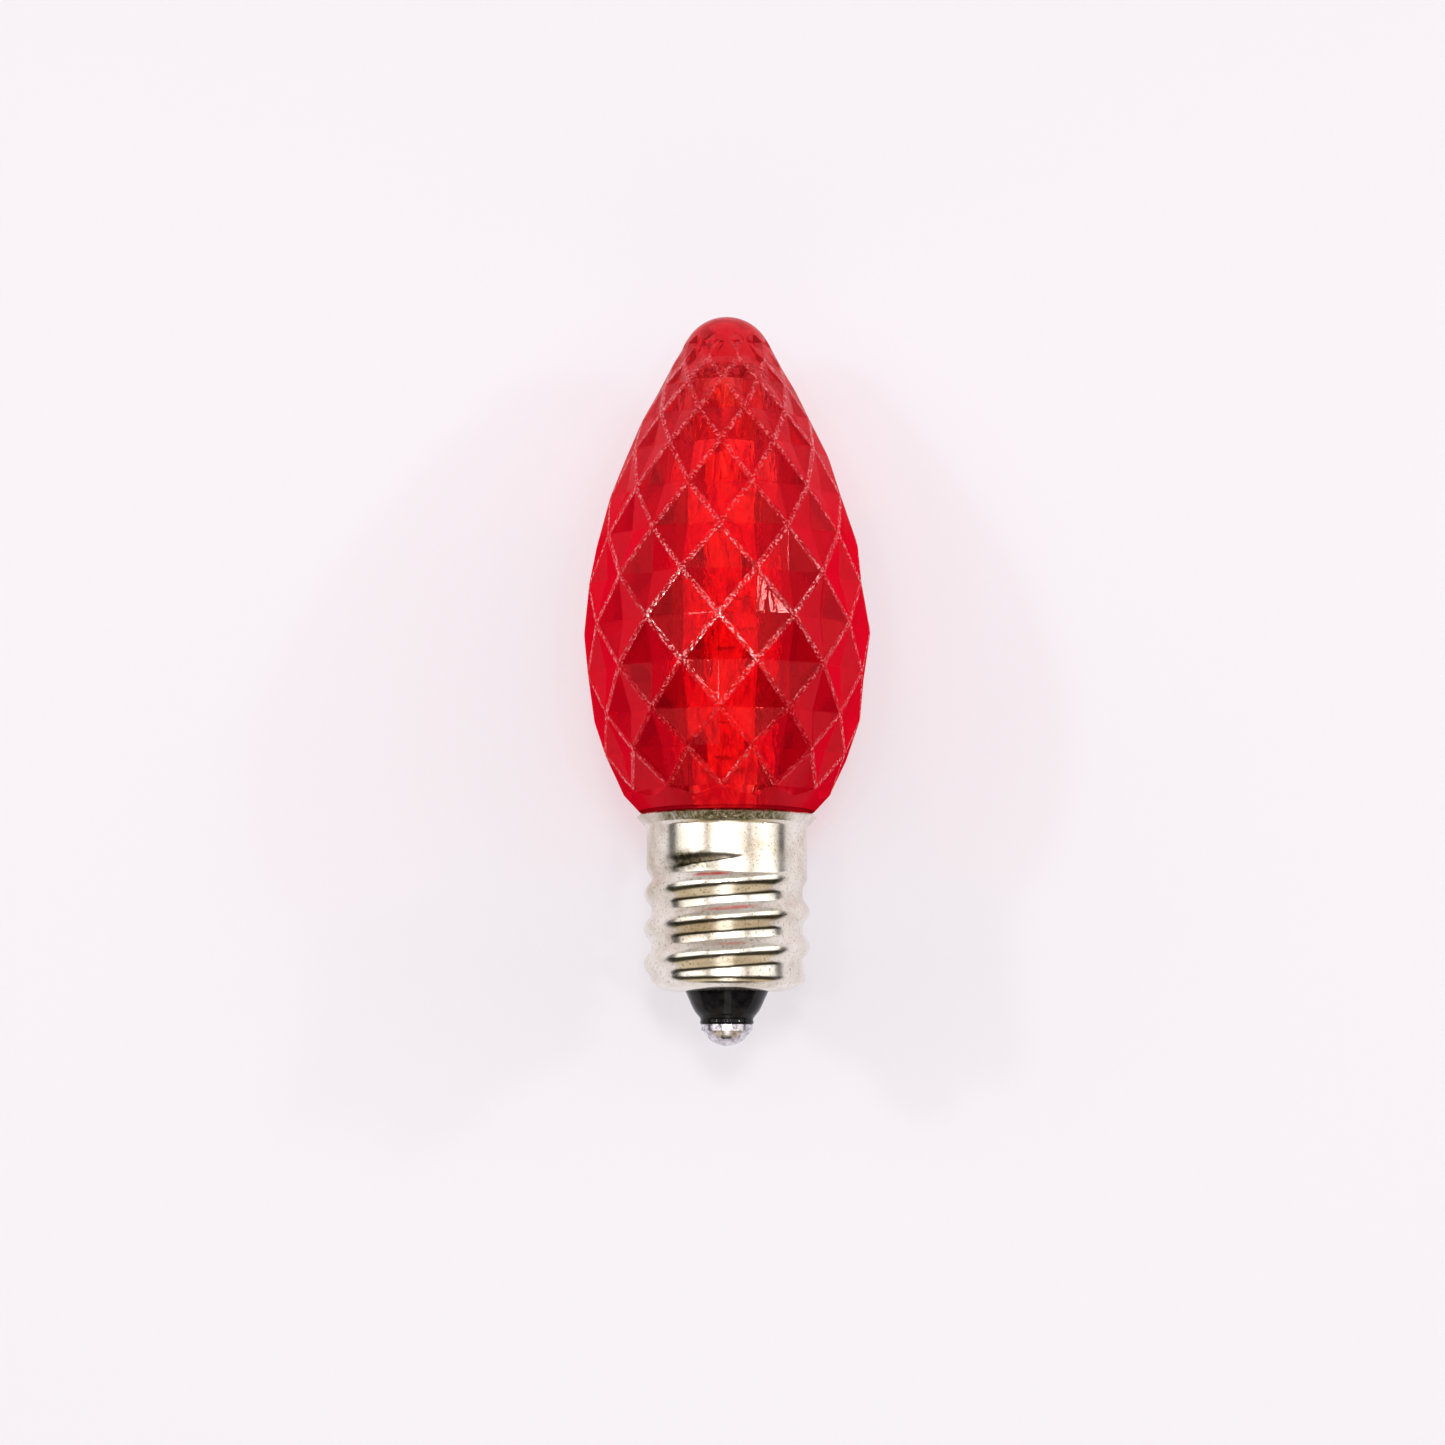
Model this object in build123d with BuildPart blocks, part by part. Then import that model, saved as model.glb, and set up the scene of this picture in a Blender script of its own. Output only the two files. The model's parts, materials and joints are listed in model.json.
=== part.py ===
from build123d import *
from math import asin, cos, degrees, hypot, radians, sin, sqrt
import os

# Faceted light bulb on a candelabra screw base.
# It stands on its centre contact: Z = 0 is the lowest point of the contact, and Z is the bulb's axis.

# Lens, outside: points that its barrel passes through, with their rise over the collar's foot
COLLAR_FOOT_RADIUS = 6.42
COLLAR_TOP_RADIUS = 7.4
COLLAR_HEIGHT = 1.05
LOWER_FLANK_RADIUS = 9.82
LOWER_FLANK_RISE = 6.65
BELLY_RADIUS = 10.63
BELLY_RISE = 13.25
UPPER_FLANK_RADIUS = 9.7
UPPER_FLANK_RISE = 19.85
SHOULDER_RADIUS = 7.6
SHOULDER_RISE = 26.35
CONE_RADIUS = 5.15
CONE_RISE = 31.4
TIP_RADIUS = 3.4
TIP_ANGLE = 61.0
LENS_HEIGHT = 37.0

# Net of diamond facets: diamonds around, heights of the half rows, ridge and depth of a diamond
FACETS_AROUND = 12
NET_RISE = 1.34
LOWER_HALF_ROW = 2.66
MIDDLE_HALF_ROW = 3.28
UPPER_HALF_ROW = 2.53
TIP_HALF_ROW = 1.63
RIDGE_WIDTH = 0.34
FACET_SINK = 0.3
NET_RELIEF = 0.03

# Lens, inside
NECK_STEP = 1.2
NECK_BORE_RADIUS = 4.4
NECK_BORE_HEIGHT = 2.55
BORE_RADIUS = 3.35
BORE_END_RADIUS = 1.5
END_WALL = 3.8
NECK_CLEARANCE = 0.08
SEAT_CLEARANCE = 0.05

# Screw shell, rolled from sheet
SHEET = 0.25
SHELL_FOOT = 4.2
SHELL_HOLE_RADIUS = 3.12
LIP_CORNER = 0.35
THREAD_CREST_RADIUS = 5.83
THREAD_DEPTH = 0.56
THREAD_PITCH = 2.54
THREAD_LAND = 0.5
THREAD_CRESTS = 3
THREAD_RUN_IN = 0.2
THREAD_RUN_OUT = 0.5
BAND_RADIUS = 5.65
BAND_HEIGHT = 3.33
FLARE_RADIUS = 6.42
FLARE_RISE = 0.6

# Insulator
INSULATOR_FIT = 0.05
INSULATOR_FOOT_RADIUS = 1.92
INSULATOR_FOOT = 1.55
FLANGE_HEIGHT = 1.3
FLANGE_CLEARANCE = 0.3

# Centre contact
EYELET_RADIUS = 1.88
EYELET_FLANGE = 0.45
EYELET_WALL = 0.2
STEM_RADIUS = 0.95
STEM_HEAD_RADIUS = 1.4
STEM_FIT = 0.05
SOLDER_RIM_RADIUS = 1.75
SOLDER_PLUG = 1.2

# Adhesive ring under the neck
CEMENT_HEIGHT = 0.55

# Board, and places over its foot of what stands on it
BOARD_WIDTH = 5.4
BOARD_THICKNESS = 0.8
BOARD_STANDOFF = 2.2
BOARD_LENGTH = 35.0
BOARD_CORNER = 0.4
LED_WIDTH = 2.8
LED_HEIGHT = 3.5
LED_DEPTH = 0.8
LED_WINDOW_EDGE = 0.35
LED_WINDOW_DEPTH = 0.3
LED_FIRST = 15.5
LED_SPACING = 8.0
LEDS_PER_FACE = 3
RECTIFIER_SIZE = 4.2
RECTIFIER_DEPTH = 1.7
RECTIFIER_BEVEL = 0.3
RECTIFIER_PLACE = 7.5
RESISTOR_LENGTH = 3.2
RESISTOR_WIDTH = 1.6
RESISTOR_DEPTH = 0.55
RESISTOR_PLACES = (6.5, 8.9)

# Wires and their joints on the board
WIRE_DIAMETER = 0.5
LEAD_GAP = 0.05
GROOVE_CLEARANCE = 0.08
PAD_PLACE = 1.3
PAD_SPREAD = 1.7
JOINT_WIDTH = 1.2
JOINT_LENGTH = 1.6
JOINT_CROWN = 0.6
JOINT_HEIGHT = 0.6
LEAD_IN_JOINT = 0.6
CONTACT_LEAD_JOG = 0.6
SHELL_LEAD_DROP = 0.3
SHELL_LEAD_RISE = 1.6


def polar(radius, angle, height):
    """Point at a distance from the axis, with the angle in degrees from the front to the right."""
    return Vector(radius * sin(radians(angle)), -radius * cos(radians(angle)), height)


# Heights of the screw shell, from its foot to the flared rim that the collar of the lens sits on
lip_radius = THREAD_CREST_RADIUS - THREAD_DEPTH
thread_foot = SHELL_FOOT + LIP_CORNER + THREAD_RUN_IN
band_foot = thread_foot + THREAD_CRESTS * THREAD_PITCH + THREAD_RUN_OUT
flare_foot = band_foot + BAND_HEIGHT
flare_top = flare_foot + FLARE_RISE
flare_run = FLARE_RADIUS - BAND_RADIUS
flare_length = hypot(flare_run, FLARE_RISE)
rim_radius = FLARE_RADIUS - SHEET * FLARE_RISE / flare_length
rim_top = flare_top + SHEET * flare_run / flare_length
collar_foot = rim_top + SEAT_CLEARANCE

# Barrel of the lens: one smooth curve from the collar to the round tip
lens_top = collar_foot + LENS_HEIGHT
net_foot = collar_foot + NET_RISE
tip_start_radius = TIP_RADIUS * sin(radians(TIP_ANGLE))
tip_start_height = lens_top - TIP_RADIUS * (1 - cos(radians(TIP_ANGLE)))
tip_mid_radius = TIP_RADIUS * sin(radians(TIP_ANGLE / 2))
tip_mid_height = lens_top - TIP_RADIUS * (1 - cos(radians(TIP_ANGLE / 2)))
barrel_points = (
    (COLLAR_TOP_RADIUS, collar_foot + COLLAR_HEIGHT),
    (LOWER_FLANK_RADIUS, collar_foot + LOWER_FLANK_RISE),
    (BELLY_RADIUS, collar_foot + BELLY_RISE),
    (UPPER_FLANK_RADIUS, collar_foot + UPPER_FLANK_RISE),
    (SHOULDER_RADIUS, collar_foot + SHOULDER_RISE),
    (CONE_RADIUS, collar_foot + CONE_RISE),
    (tip_start_radius, tip_start_height),
)
collar_slope = (COLLAR_TOP_RADIUS - COLLAR_FOOT_RADIUS, COLLAR_HEIGHT)
tip_slope = (-cos(radians(TIP_ANGLE)), sin(radians(TIP_ANGLE)))
barrel = Spline(*barrel_points, tangents=(collar_slope, tip_slope))


def barrel_radius(height):
    """Radius of the barrel at a height on its curve."""
    low = 0.0
    high = 1.0
    for _ in range(40):
        middle = (low + high) / 2
        if barrel.position_at(middle).Y < height:
            low = middle
        else:
            high = middle
    return barrel.position_at(low).X


# Net of diamonds. Nodes of even levels lie on even columns, and a diamond is centred between them.
half_rows = [LOWER_HALF_ROW] * 2 + [MIDDLE_HALF_ROW] * 6 + [UPPER_HALF_ROW] * 2 + [TIP_HALF_ROW] * 2
last_level = len(half_rows)
half_column = 180 / FACETS_AROUND
columns = 2 * FACETS_AROUND
net_overrun = 5.0


def level_height(level):
    """Height of a row of nodes. The rows beyond both ends are as high as their neighbours."""
    if level < 0:
        return net_foot + level * LOWER_HALF_ROW
    if level > last_level:
        return level_height(last_level) + (level - last_level) * TIP_HALF_ROW
    return net_foot + sum(half_rows[:level])


node_radii = [barrel_radius(level_height(level)) - NET_RELIEF for level in range(last_level + 1)]


def node(level, column):
    """Corner of the diamonds. Beyond both ends it stands out of the barrel, so that facets fade into it."""
    if level < 0:
        radius = node_radii[0] - 2 * FACET_SINK
    elif level > last_level:
        radius = node_radii[last_level] - FACET_SINK
    else:
        radius = node_radii[level]
    return polar(radius, column * half_column, level_height(level))


def diamond(level, column):
    """Corners and sunk centre of one diamond, drawn in from the ridges around it."""
    left = node(level, column - 1)
    right = node(level, column + 1)
    top = node(level + 1, column)
    bottom = node(level - 1, column)
    if 0 <= level <= last_level:
        middle = (left + right + top + bottom) / 4
        across = (right - left).length / 2
        along = (top - bottom).length / 2
        inset = 1 - RIDGE_WIDTH / 2 * sqrt(across**2 + along**2) / (across * along)
        left = middle + (left - middle) * inset
        right = middle + (right - middle) * inset
        top = middle + (top - middle) * inset
        bottom = middle + (bottom - middle) * inset
    outward = polar(1, column * half_column, 0)
    centre = (left + right) / 2 - outward * FACET_SINK
    return {"left": left, "right": right, "top": top, "bottom": bottom, "centre": centre}


def flat_faces(*corners):
    """Triangles that fan out from the first corner."""
    fan = []
    for second, third in zip(corners[1:-1], corners[2:]):
        fan.append(Face(Wire.make_polygon([corners[0], second, third])))
    return fan


def diamond_facets(level, column):
    """Four facets that fall from the ridges to the centre."""
    d = diamond(level, column)
    ring = [d["top"], d["left"], d["bottom"], d["right"], d["top"]]
    facets = []
    for first, second in zip(ring[:-1], ring[1:]):
        facets += flat_faces(d["centre"], first, second)
    return facets


def node_ridges(level, column):
    """The flat crossing at a node, and the two ridges that rise from it."""
    above = diamond(level + 1, column)
    below = diamond(level - 1, column)
    before = diamond(level, column - 1)
    after = diamond(level, column + 1)
    ridges = flat_faces(above["bottom"], before["right"], below["top"], after["left"])
    ridges += flat_faces(above["bottom"], above["right"], after["top"], after["left"])
    ridges += flat_faces(above["bottom"], before["right"], before["top"], above["left"])
    return ridges


def end_faces(level, closing_height):
    """Plain faces that close the net beyond its first or last row."""
    faces = []
    rim = []
    inner_level = 0 if level < 0 else last_level
    for column in range(1, columns, 2):
        here = node(level, column)
        following = node(level, column + 2)
        faces += flat_faces(here, following, node(inner_level, column + 1))
        here_end = Vector(here.X, here.Y, closing_height)
        following_end = Vector(following.X, following.Y, closing_height)
        faces += flat_faces(here, following, following_end, here_end)
        rim.append(here_end)
    faces.append(Face(Wire.make_polygon(rim)))
    return faces


net_faces = []
for level in range(last_level + 1):
    for column in range(columns):
        if (level + column) % 2:
            net_faces += diamond_facets(level, column)
        else:
            net_faces += node_ridges(level, column)
for column in range(1, columns, 2):
    foot = diamond(0, column)
    foot_node = node(-1, column)
    net_faces += flat_faces(foot["bottom"], foot["right"], node(0, column + 1), foot_node)
    net_faces += flat_faces(foot["bottom"], foot["left"], node(0, column - 1), foot_node)
net_faces += end_faces(-1, collar_foot - net_overrun)
net_faces += end_faces(last_level + 1, lens_top + net_overrun)
net = Solid(Shell(net_faces))

# Places that several pieces share
neck_radius = BAND_RADIUS - SHEET - NECK_CLEARANCE
neck_foot = band_foot + NECK_STEP
neck_top = flare_foot + rim_top - flare_top
neck_bore_top = neck_foot + NECK_BORE_HEIGHT
bore_top = lens_top - END_WALL
board_face = BOARD_THICKNESS / 2
lead_offset = board_face + LEAD_GAP + WIRE_DIAMETER / 2
shell_lead_x = sqrt((neck_radius - WIRE_DIAMETER / 2) ** 2 - lead_offset**2)
flange_foot = SHELL_FOOT + SHEET
flange_top = flange_foot + FLANGE_HEIGHT
board_foot = flange_top + BOARD_STANDOFF
pad_height = board_foot + PAD_PLACE
shell_lead_turn = neck_foot - CEMENT_HEIGHT - SHELL_LEAD_DROP
shell_lead_top = neck_foot + SHELL_LEAD_RISE
groove_reach = neck_radius - shell_lead_x + WIRE_DIAMETER
groove_top = shell_lead_top + GROOVE_CLEARANCE


def cut_lead_groove(foot, top):
    """Groove along the neck's outside, in which the lead to the shell lies."""
    with BuildSketch(Plane.XY.offset(foot)) as groove:
        with Locations((shell_lead_x, lead_offset)):
            Circle(WIRE_DIAMETER / 2 + GROOVE_CLEARANCE)
        with Locations((shell_lead_x + groove_reach / 2, lead_offset)):
            Rectangle(groove_reach, WIRE_DIAMETER + 2 * GROOVE_CLEARANCE)
    extrude(groove.sketch, amount=top - foot, mode=Mode.SUBTRACT)


# Lens
with BuildPart() as lens:
    with BuildSketch(Plane.XZ):
        with BuildLine():
            Polyline(
                (0, lens_top),
                (0, neck_foot),
                (neck_radius, neck_foot),
                (neck_radius, neck_top),
                (rim_radius - NECK_CLEARANCE, collar_foot),
                (COLLAR_FOOT_RADIUS, collar_foot),
                barrel_points[0],
            )
            add(barrel)
            ThreePointArc(barrel_points[-1], (tip_mid_radius, tip_mid_height), (0, lens_top))
        make_face()
    revolve(axis=Axis.Z)
    add(net, mode=Mode.INTERSECT)
    with BuildSketch(Plane.XZ):
        with BuildLine():
            Polyline(
                (0, neck_foot),
                (NECK_BORE_RADIUS, neck_foot),
                (NECK_BORE_RADIUS, neck_bore_top),
                (BORE_RADIUS, neck_bore_top),
                (BORE_RADIUS, bore_top - BORE_RADIUS + BORE_END_RADIUS),
                (BORE_END_RADIUS, bore_top),
                (0, bore_top),
                close=True,
            )
        make_face()
    revolve(axis=Axis.Z, mode=Mode.SUBTRACT)
    cut_lead_groove(neck_foot, groove_top)
lens.part.label = "lens"


# Outer line of the screw shell, from the hole in its foot to the flared rim, with the crests as plain rings
shell_points = [
    (SHELL_HOLE_RADIUS, SHELL_FOOT),
    (lip_radius - LIP_CORNER, SHELL_FOOT),
    (lip_radius, SHELL_FOOT + LIP_CORNER),
]
flank_height = (THREAD_PITCH - THREAD_LAND) / 2
for crest in range(THREAD_CRESTS):
    crest_foot = thread_foot + crest * THREAD_PITCH
    shell_points += [
        (lip_radius, crest_foot),
        (THREAD_CREST_RADIUS, crest_foot + flank_height),
        (THREAD_CREST_RADIUS, crest_foot + flank_height + THREAD_LAND),
    ]
shell_points += [
    (lip_radius, band_foot - THREAD_RUN_OUT),
    (BAND_RADIUS, band_foot),
    (BAND_RADIUS, flare_foot),
    (FLARE_RADIUS, flare_top),
]
with BuildPart() as screw_shell:
    with BuildSketch(Plane.XZ):
        with BuildLine():
            Polyline(*shell_points)
            offset(amount=SHEET, side=Side.LEFT, kind=Kind.TANGENT)
        make_face()
    revolve(axis=Axis.Z)
screw_shell.part.label = "screw_shell"


# Insulator
with BuildPart() as insulator:
    with BuildSketch(Plane.XZ):
        with BuildLine():
            Polyline(
                (STEM_RADIUS + STEM_FIT, INSULATOR_FOOT),
                (INSULATOR_FOOT_RADIUS, INSULATOR_FOOT),
                (SHELL_HOLE_RADIUS - INSULATOR_FIT, SHELL_FOOT),
                (SHELL_HOLE_RADIUS - INSULATOR_FIT, flange_foot),
                (lip_radius - SHEET - FLANGE_CLEARANCE, flange_foot),
                (lip_radius - SHEET - FLANGE_CLEARANCE, flange_top),
                (STEM_RADIUS + STEM_FIT, flange_top),
                close=True,
            )
        make_face()
    revolve(axis=Axis.Z)
insulator.part.label = "insulator"

# Centre contact: an eyelet whose stem is spread over the insulator, and the solder that closes it
eyelet_foot = INSULATOR_FOOT - EYELET_FLANGE
stem_bore = STEM_RADIUS - EYELET_WALL
stem_top = flange_top + EYELET_WALL
solder_top = eyelet_foot + SOLDER_PLUG
with BuildPart() as contact_eyelet:
    with BuildSketch(Plane.XZ):
        with BuildLine():
            Polyline(
                (stem_bore, eyelet_foot),
                (EYELET_RADIUS, eyelet_foot),
                (EYELET_RADIUS, INSULATOR_FOOT),
                (STEM_RADIUS, INSULATOR_FOOT),
                (STEM_RADIUS, flange_top),
                (STEM_HEAD_RADIUS, flange_top),
                (STEM_HEAD_RADIUS, stem_top),
                (stem_bore, stem_top),
                close=True,
            )
        make_face()
    revolve(axis=Axis.Z)
contact_eyelet.part.label = "contact_eyelet"

# Leads, from their joints on the board to the contact and to the shell
jog_top = board_foot - CONTACT_LEAD_JOG
contact_route = (
    (0, -lead_offset, pad_height + LEAD_IN_JOINT),
    (0, -lead_offset, jog_top),
    (0, 0, jog_top - lead_offset),
    (0, 0, solder_top),
)
shell_route = (
    (PAD_SPREAD, lead_offset, pad_height - LEAD_IN_JOINT),
    (PAD_SPREAD, lead_offset, shell_lead_turn),
    (shell_lead_x, lead_offset, shell_lead_turn),
    (shell_lead_x, lead_offset, shell_lead_top),
)
leads = []
for route in (contact_route, shell_route):
    with BuildPart() as lead:
        with BuildLine() as path:
            Polyline(*route)
        with BuildSketch(Plane(path.line @ 0, z_dir=path.line % 0)):
            Circle(WIRE_DIAMETER / 2)
        sweep(transition=Transition.RIGHT)
    leads.append(lead)
contact_lead, shell_lead = leads
contact_lead.part.label = "contact_lead"
shell_lead.part.label = "shell_lead"

dome_radius = (SOLDER_RIM_RADIUS**2 + eyelet_foot**2) / (2 * eyelet_foot)
dome_angle = degrees(asin(SOLDER_RIM_RADIUS / dome_radius))
with BuildPart() as contact_solder:
    with BuildSketch(Plane.XZ):
        with BuildLine():
            Polyline(
                (0, 0),
                (0, solder_top),
                (stem_bore, solder_top),
                (stem_bore, eyelet_foot),
                (SOLDER_RIM_RADIUS, eyelet_foot),
            )
            CenterArc((0, dome_radius), dome_radius, -90, dome_angle)
        make_face()
    revolve(axis=Axis.Z)
contact_solder.part.label = "contact_solder"

# Adhesive that holds the neck in the shell
with BuildPart() as cement:
    with BuildSketch(Plane.XY.offset(neck_foot - CEMENT_HEIGHT)):
        Circle(neck_radius)
        Circle(NECK_BORE_RADIUS, mode=Mode.SUBTRACT)
    extrude(amount=CEMENT_HEIGHT)
    cut_lead_groove(neck_foot - CEMENT_HEIGHT, neck_foot)
cement.part.label = "cement"

# Board, upright on the axis
with BuildPart() as board:
    with BuildSketch(Plane.XZ):
        with Locations((0, board_foot + BOARD_LENGTH / 2)):
            RectangleRounded(BOARD_WIDTH, BOARD_LENGTH, BOARD_CORNER)
    extrude(amount=board_face, both=True)
board.part.label = "board"


def on_board(side, across, place):
    """Plane on a face of the board, at a place over its foot: side is -1 on the front and 1 on the back."""
    centre = (across, side * board_face, board_foot + place)
    return Plane(origin=centre, x_dir=(1, 0, 0), z_dir=(0, side, 0))


# Solder joints of the leads on the board
joints = []
for side, across, lead in ((-1, 0, contact_lead), (1, PAD_SPREAD, shell_lead)):
    foot_plane = on_board(side, across, PAD_PLACE)
    with BuildPart() as joint:
        with BuildSketch(foot_plane):
            Rectangle(JOINT_WIDTH, JOINT_LENGTH)
        with BuildSketch(foot_plane.offset(JOINT_HEIGHT)):
            Rectangle(JOINT_CROWN * JOINT_WIDTH, JOINT_CROWN * JOINT_LENGTH)
        loft()
        add(lead.part, mode=Mode.SUBTRACT)
    joints.append(joint)
joints[0].part.label = "contact_joint"
joints[1].part.label = "shell_joint"

# Light-emitting diodes, in a column on each face of the board
leds = []
for side in (-1, 1):
    for place in range(LEDS_PER_FACE):
        with BuildPart() as led:
            with BuildSketch(on_board(side, 0, LED_FIRST + place * LED_SPACING)):
                Rectangle(LED_WIDTH, LED_HEIGHT)
            extrude(amount=LED_DEPTH)
            outer_face = led.faces().sort_by(Axis.Y)[-1 if side > 0 else 0]
            with BuildSketch(Plane(outer_face)):
                Rectangle(LED_WIDTH - 2 * LED_WINDOW_EDGE, LED_HEIGHT - 2 * LED_WINDOW_EDGE)
            extrude(amount=-LED_WINDOW_DEPTH, mode=Mode.SUBTRACT)
        leds.append(led)
        led.part.label = "led_" + str(len(leds))

# Bridge rectifier on the front of the board
with BuildPart() as rectifier:
    with BuildSketch(on_board(-1, 0, RECTIFIER_PLACE)):
        Rectangle(RECTIFIER_SIZE, RECTIFIER_SIZE)
    extrude(amount=RECTIFIER_DEPTH)
    chamfer(rectifier.faces().sort_by(Axis.Y)[0].edges(), RECTIFIER_BEVEL)
rectifier.part.label = "rectifier"

# Resistors on the back of the board
resistors = []
for place in RESISTOR_PLACES:
    with BuildPart() as resistor:
        with BuildSketch(on_board(1, 0, place)):
            Rectangle(RESISTOR_LENGTH, RESISTOR_WIDTH)
        extrude(amount=RESISTOR_DEPTH)
    resistors.append(resistor)
    resistor.part.label = "resistor_" + str(len(resistors))

nodes = [lens, screw_shell, insulator, contact_eyelet, contact_solder, cement, board]
nodes += [contact_lead, shell_lead, rectifier] + joints + leds + resistors
os.makedirs("parts", exist_ok=True)
for piece in nodes:
    export_step(piece.part, "parts/" + piece.part.label + ".step")
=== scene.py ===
import json
from math import cos, pi, radians, sin, sqrt, tan

import bmesh
import bpy
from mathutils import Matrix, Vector


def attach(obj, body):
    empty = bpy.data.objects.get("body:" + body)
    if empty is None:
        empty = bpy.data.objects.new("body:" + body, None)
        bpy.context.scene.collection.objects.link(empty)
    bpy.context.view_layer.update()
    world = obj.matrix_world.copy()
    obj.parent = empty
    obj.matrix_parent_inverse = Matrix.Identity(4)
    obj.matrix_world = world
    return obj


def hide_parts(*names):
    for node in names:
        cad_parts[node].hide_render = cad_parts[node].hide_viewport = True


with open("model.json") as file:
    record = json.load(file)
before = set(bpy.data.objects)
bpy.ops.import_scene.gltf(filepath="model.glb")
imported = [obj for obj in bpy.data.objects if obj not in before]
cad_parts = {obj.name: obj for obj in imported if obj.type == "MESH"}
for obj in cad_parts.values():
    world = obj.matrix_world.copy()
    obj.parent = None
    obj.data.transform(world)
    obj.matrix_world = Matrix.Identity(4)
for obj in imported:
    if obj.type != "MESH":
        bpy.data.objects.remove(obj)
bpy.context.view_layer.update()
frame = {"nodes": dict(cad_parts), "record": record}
nodes = frame["nodes"]

MM = 0.001

# The photograph: the camera looks straight down at a table that the bulb lies on. In metres and degrees, and
# the focal length in millimetres.
CAMERA_AZIMUTH = 3.2
CAMERA_ELEVATION = -6.609
CAMERA_DISTANCE = 0.21915
CAMERA_NEAR = 0.001
AIM_HEIGHT = 0.02365
AIM_SHIFT = 0.000317
FOCAL_LENGTH = 74.25
TABLE_DEPTH = 0.0115
# How far above and below the aim the table's painted shade runs
TABLE_FADE = 0.06

# Lens, in millimetres: its bore and neck, the heights between which its haze thins, and the net of facets,
# where the largest crossing of two ridges is in square millimetres
BORE_ZONE_RADIUS = 3.6
BORE_ZONE_TOP = 50.4
NECK_ZONE_RADIUS = 4.5
NECK_ZONE_TOP = 16.7
HAZE_THINS = (37, 49)
NET_FOOT = 18.45
NET_TOP = 51.3
NET_INNER_RADIUS = 3.8
CROSSING_AREA_MOST = 0.5
RIDGE_ROUNDING = 0.09
WELD_DISTANCE = 0.001

# Angles between faces, in degrees: the most within one flat facet, the least at the edge of a ridge or of the
# sheet, and the most that is shaded as a smooth surface
FLAT_TURN = 0.3
RIDGE_TURN = 6.5
SHEET_EDGE_TURN = 40
LENS_SMOOTH_TURN = 32
SHELL_SMOOTH_TURN = 35
CONE_SMOOTH_TURN = 50

# Screw shell, in millimetres
SHEET = 0.25
SHEET_EDGE = 0.04
SHELL_SIDES = 144
SHELL_ROWS = 96
SHELL_FOOT = 4.2
SHELL_HOLE_RADIUS = 3.12
BOWL_PLAIN = 0.2
THREAD_FOOT = 4.9
VALLEY_RADIUS = 5.27
THREAD_DEPTH = 0.56
THREAD_PITCH = 2.54
THREAD_START = 5.27
THREAD_LAST = 11.7
THREAD_FADE = 1.1
THREAD_TURNS = range(-1, 4)
CREST_SHARPNESS = 1.5
FILLET = 0.06
BAND_RADIUS = 5.65
BAND_BLEND = 1.0
GROOVE_FOOT = 11.4
GROOVE_TOP = 12.2
FLARE_FOOT = 15.93
FLARE_TOP = 16.8
FLARE_RADIUS = 6.42
RIM_INWARD = 0.05
RIM_BELOW = 0.04

# The shell's bowl-shaped foot, as radii and heights above SHELL_FOOT, and its flare, as growths of
# BAND_RADIUS and heights above FLARE_FOOT
BOWL = (
    (3.5, 0),
    (3.85, 0.015),
    (4.2, 0.06),
    (4.52, 0.135),
    (4.8, 0.24),
    (5.02, 0.37),
    (5.17, 0.5),
    (5.25, 0.63),
)
FLARE = ((0.01, 0.04), (0.05, 0.11), (0.11, 0.18), (0.19, 0.26))

# Around the shell, as shares of a turn from the back by the left: the height of the band's foot, and how far
# the last groove of the thread is filled up to the band
BAND_FEET = (
    (0, 11.65),
    (0.25, 12.0),
    (0.38, 12.6),
    (0.47, 12.8),
    (0.62, 12.4),
    (0.75, 11.9),
    (1, 11.65),
)
GROOVE_FILL = ((0, 0), (0.4, 0), (0.46, 0.2), (0.56, 1), (0.85, 1), (1, 0))

# Painted shade in the groove under the band at the left, and a painted dark reflection on the flare's
# underside, in millimetres. A pair says where it has faded and where it is full.
GROOVE_MIDDLE_HEIGHT = 13.2
GROOVE_REACH = (0.99, 0.44)
GROOVE_SHADE_RIGHT_END = (0.0, -1.6)
GROOVE_SHADE_LEFT_END = (-4.4, -3.5)
FLARE_UNDERSIDE_FOOT = 0.15
FLARE_REFLECTION_SIDES = (5.1, 4.1)

# Insulator, in millimetres: the radii and heights of its profile, from the foot of its hole round to the top
CONE_SIDES = 96
CONE_FOOT = (
    (1.01, 1.56),
    (1.4, 1.55),
    (1.84, 1.55),
    (1.91, 1.58),
    (1.95, 1.65),
    (1.955, 1.75),
    (1.925, 1.85),
    (1.92, 1.93),
)
CONE_FLANK = (
    (1.98, 2.05),
    (2.12, 2.22),
    (2.32, 2.46),
    (2.45, 2.68),
    (2.56, 2.9),
    (2.65, 3.1),
    (2.75, 3.34),
    (2.87, 3.6),
    (2.96, 3.8),
    (3.03, 3.98),
    (3.06, 4.1),
    (3.04, 4.19),
)
CONE_FLANGE = (
    (3.0, 4.25),
    (3.0, 4.42),
    (3.2, 4.47),
    (4.0, 4.5),
    (4.4, 4.62),
    (4.66, 4.85),
    (4.72, 5.0),
    (4.72, 5.7),
    (4.68, 5.75),
    (1.01, 5.75),
)

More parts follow.
